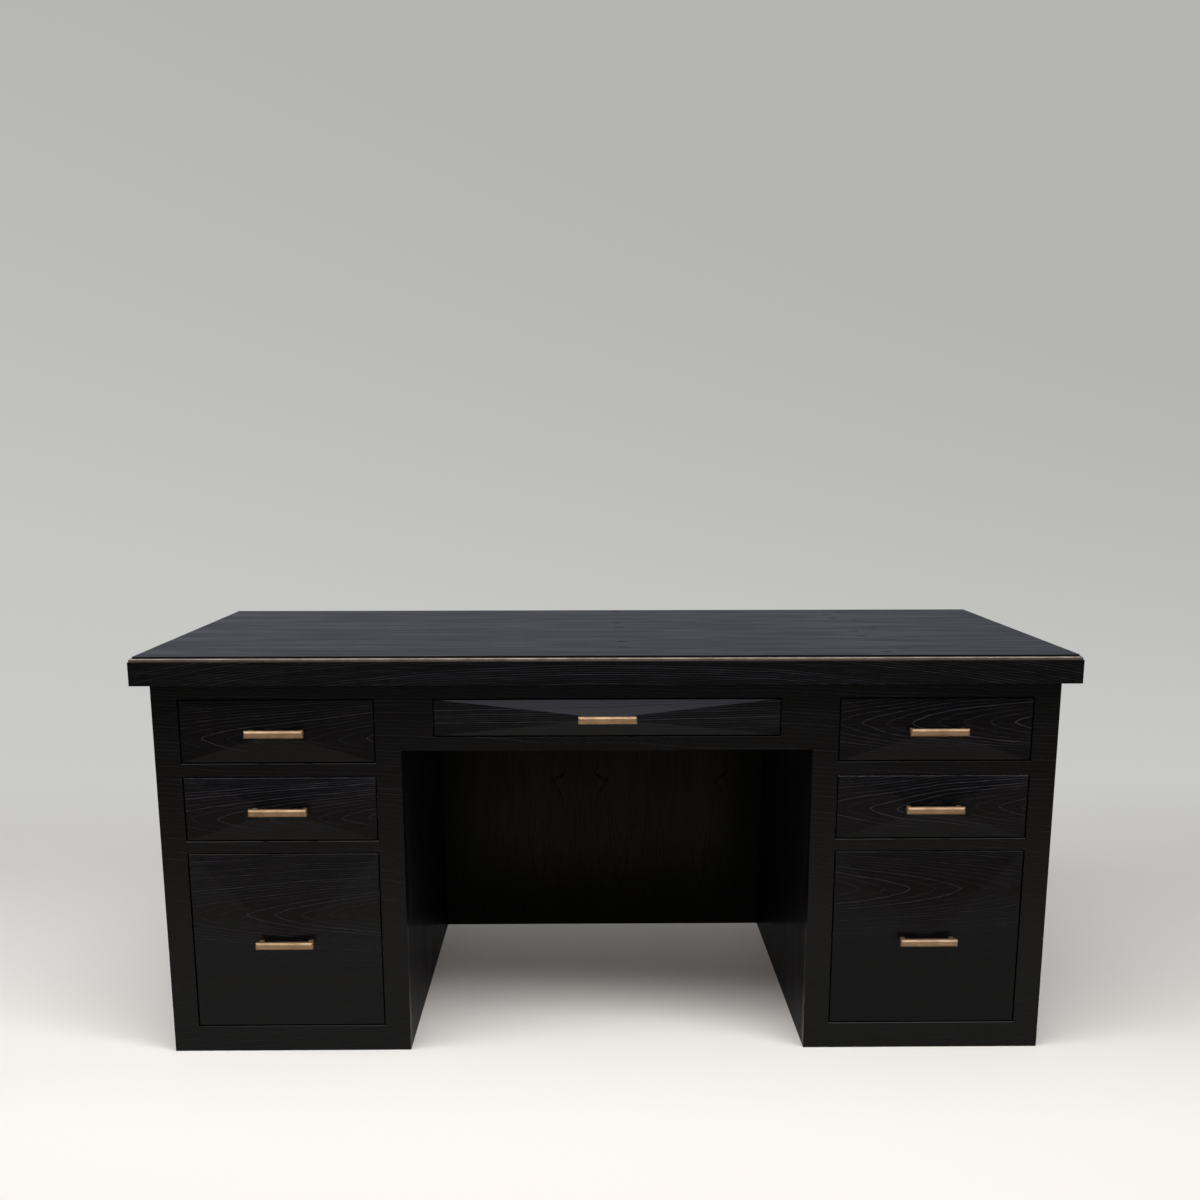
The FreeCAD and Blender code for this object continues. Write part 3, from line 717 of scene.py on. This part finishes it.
screwShape = turnScrew("screwPattern")
for spot in spots:
    pair = []
    for side in (-1, 1):
        screw = copyPiece(screwShape, "pullScrews." + spot)
        x = frontMiddle[spot].x + side * pullBar["spacing"] / 2
        setPiece(screw, (x, frontPlane[spot] + pullScrew["behind"], frontMiddle[spot].z))
        pair.append(screw)
    pair[0].select_set(True)
    bpy.context.view_layer.objects.active = pair[0]
    bpy.ops.object.join()
    pair[0].data.materials.append(slideSteel)
    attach(pair[0], "drawer_" + spot)
bpy.data.objects.remove(screwShape)
print("brass, timber, slides and screws dressed")

# floor that sweeps up into the backdrop
stageSize = {"front": -30.0, "back": 5.6, "side": 30.0, "height": 12.0, "sweep": 2.4, "segments": 32}
bpy.ops.object.select_all(action="DESELECT")
bpy.ops.mesh.primitive_plane_add(size=1, location=(0, 0, 0))
backdrop = bpy.context.object
backdrop.name = "backdrop"
bpy.ops.object.mode_set(mode="EDIT")
bpy.ops.transform.resize(value=(2 * stageSize["side"], stageSize["back"] - stageSize["front"], 1))
bpy.ops.transform.translate(value=(0, (stageSize["back"] + stageSize["front"]) / 2, 0))
bpy.ops.mesh.select_mode(type="EDGE")
pick(backdrop, "edges", lambda e: all(p.y > 0 for p in corner(backdrop, e)))
bpy.ops.mesh.extrude_region_move(TRANSFORM_OT_translate={"value": (0, 0, stageSize["height"])})
pick(backdrop, "edges", lambda e: all(p.y > 0 and p.z < near for p in corner(backdrop, e)))
bpy.ops.mesh.bevel(offset=stageSize["sweep"], segments=stageSize["segments"], profile=0.5)
bpy.ops.object.mode_set(mode="OBJECT")
bpy.ops.object.shade_smooth()

# pale paper, with a deeper tone in front of the desk that is painted shade for the desk's fronts to mirror,
# and a wall that glows; tones by place in metres
room = {"color": (1.0, 0.98, 0.95, 1), "strength": 0.18}
floorTones = [(-7.0, (0.88, 0.86, 0.83)), (-2.6, (0.63, 0.57, 0.51)), (-1.5, (0.71, 0.65, 0.59)),
              (-0.95, (0.835, 0.795, 0.74)), (-0.65, (0.865, 0.826, 0.778)), (-0.4, (0.84, 0.804, 0.758)),
              (-0.1, (0.89, 0.855, 0.81)), (0.6, (0.90, 0.88, 0.855))]
wallTint = (1.0, 0.995, 0.985)
wallTones = [(place, [tone * c for c in wallTint])
             for place, tone in ((0.0, 0.62), (1.02, 0.60), (4.25, 0.57), (6.8, 0.50), (8.5, 0.46))]
# where the tones change: the floor evens out to the sides, the stage ends, the glow dims in front
paperLook = {"even": (2.2, 7.0), "sideEnds": (5.0, 16.0), "frontEnd": (-8.0, -18.0), "dim": (-0.2, -1.0),
             "wall": (-0.2, 1.9), "wallLean": 0.38, "rough": 0.9, "shine": 0.1}


def toneRamp(tree, value, tones):
    low, high = tones[0][0], tones[-1][0]
    share = put(tree, "MapRange", {0: value, 1: low, 2: high}).outputs[0]
    ramp = put(tree, "ValToRGB", {0: share})
    elements = ramp.color_ramp.elements
    for place, tone in tones[1:-1]:
        elements.new((place - low) / (high - low))
    for element, (place, tone) in zip(elements, tones):
        element.color = (*tone, 1)
    return ramp.outputs[0]


def backdropPaper(name):
    look = paperLook
    material, tree, shader = newMaterial(name)
    x, y, z = split(tree, objectPlace(tree))
    outward = calc(tree, "ABSOLUTE", x)
    evenTone = (*floorTones[0][1], 1)
    floor = blendColor(tree, band(tree, outward, *look["even"]), toneRamp(tree, y, floorTones), evenTone)
    feed(tree, shader, {"Base Color": floor, "Roughness": look["rough"],
                        "Specular IOR Level": look["shine"]})
    # the far ends of the stage fade to the tone of the room
    wall = toneRamp(tree, plus(tree, y, z, times(tree, x, look["wallLean"])), wallTones)
    ends = calc(tree, "MAXIMUM", band(tree, outward, *look["sideEnds"]), band(tree, y, *look["frontEnd"]))
    dim = calc(tree, "MAXIMUM", ends, band(tree, y, *look["dim"]))
    roomTone = (*[c * room["strength"] for c in room["color"][:3]], 1)
    glow = put(tree, "Emission", {0: blendColor(tree, dim, wall, roomTone)})
    # the glow is seen and mirrored, but sheds no light on matt surfaces
    path = put(tree, "LightPath").outputs
    direct = calc(tree, "MAXIMUM", path["Is Camera Ray"], path["Is Glossy Ray"], path["Is Transmission Ray"])
    # the glow begins under the desk, so it also lays painted light over the desk's shadow on the floor
    far = calc(tree, "MAXIMUM", band(tree, y, *look["wall"]), ends)
    choose = put(tree, "MixShader", {0: times(tree, far, direct), 1: shader.outputs[0], 2: glow.outputs[0]})
    output = next(n for n in tree.nodes if n.type == "OUTPUT_MATERIAL")
    feed(tree, output, {0: choose.outputs[0]})
    return material


backdrop.data.materials.append(backdropPaper("backdropPaper"))

# a broad soft light overhead, a smaller one high behind the camera, and a dim room
lamps = {
    "overhead": {"place": (-0.15, -1.02, 2.3), "aim": (-0.08, -0.6, 0), "size": (6.0, 0.85),
                 "power": 100, "color": (0.97, 0.98, 1.0)},
    "frontTop": {"place": (-0.1, -4.3, 2.2), "aim": (0, -0.3, 0.6), "size": (2.1, 0.7),
                 "power": 22.5, "color": (0.88, 0.89, 1.0)}}
for name, lamp in lamps.items():
    direction = Vector(lamp["aim"]) - Vector(lamp["place"])
    turn = direction.to_track_quat("-Z", "Y").to_euler()
    bpy.ops.object.light_add(type="AREA", location=lamp["place"], rotation=turn)
    softLight = bpy.context.object
    softLight.name = name
    softLight.data.shape = "RECTANGLE"
    softLight.data.size, softLight.data.size_y = lamp["size"]
    softLight.data.energy = lamp["power"]
    softLight.data.color = lamp["color"]

world = bpy.data.worlds.new("room")
scene.world = world
world.use_nodes = True
light = next(n for n in world.node_tree.nodes if n.type == "BACKGROUND")
feed(world.node_tree, light, {0: room["color"], 1: room["strength"]})
print("stage and light set")
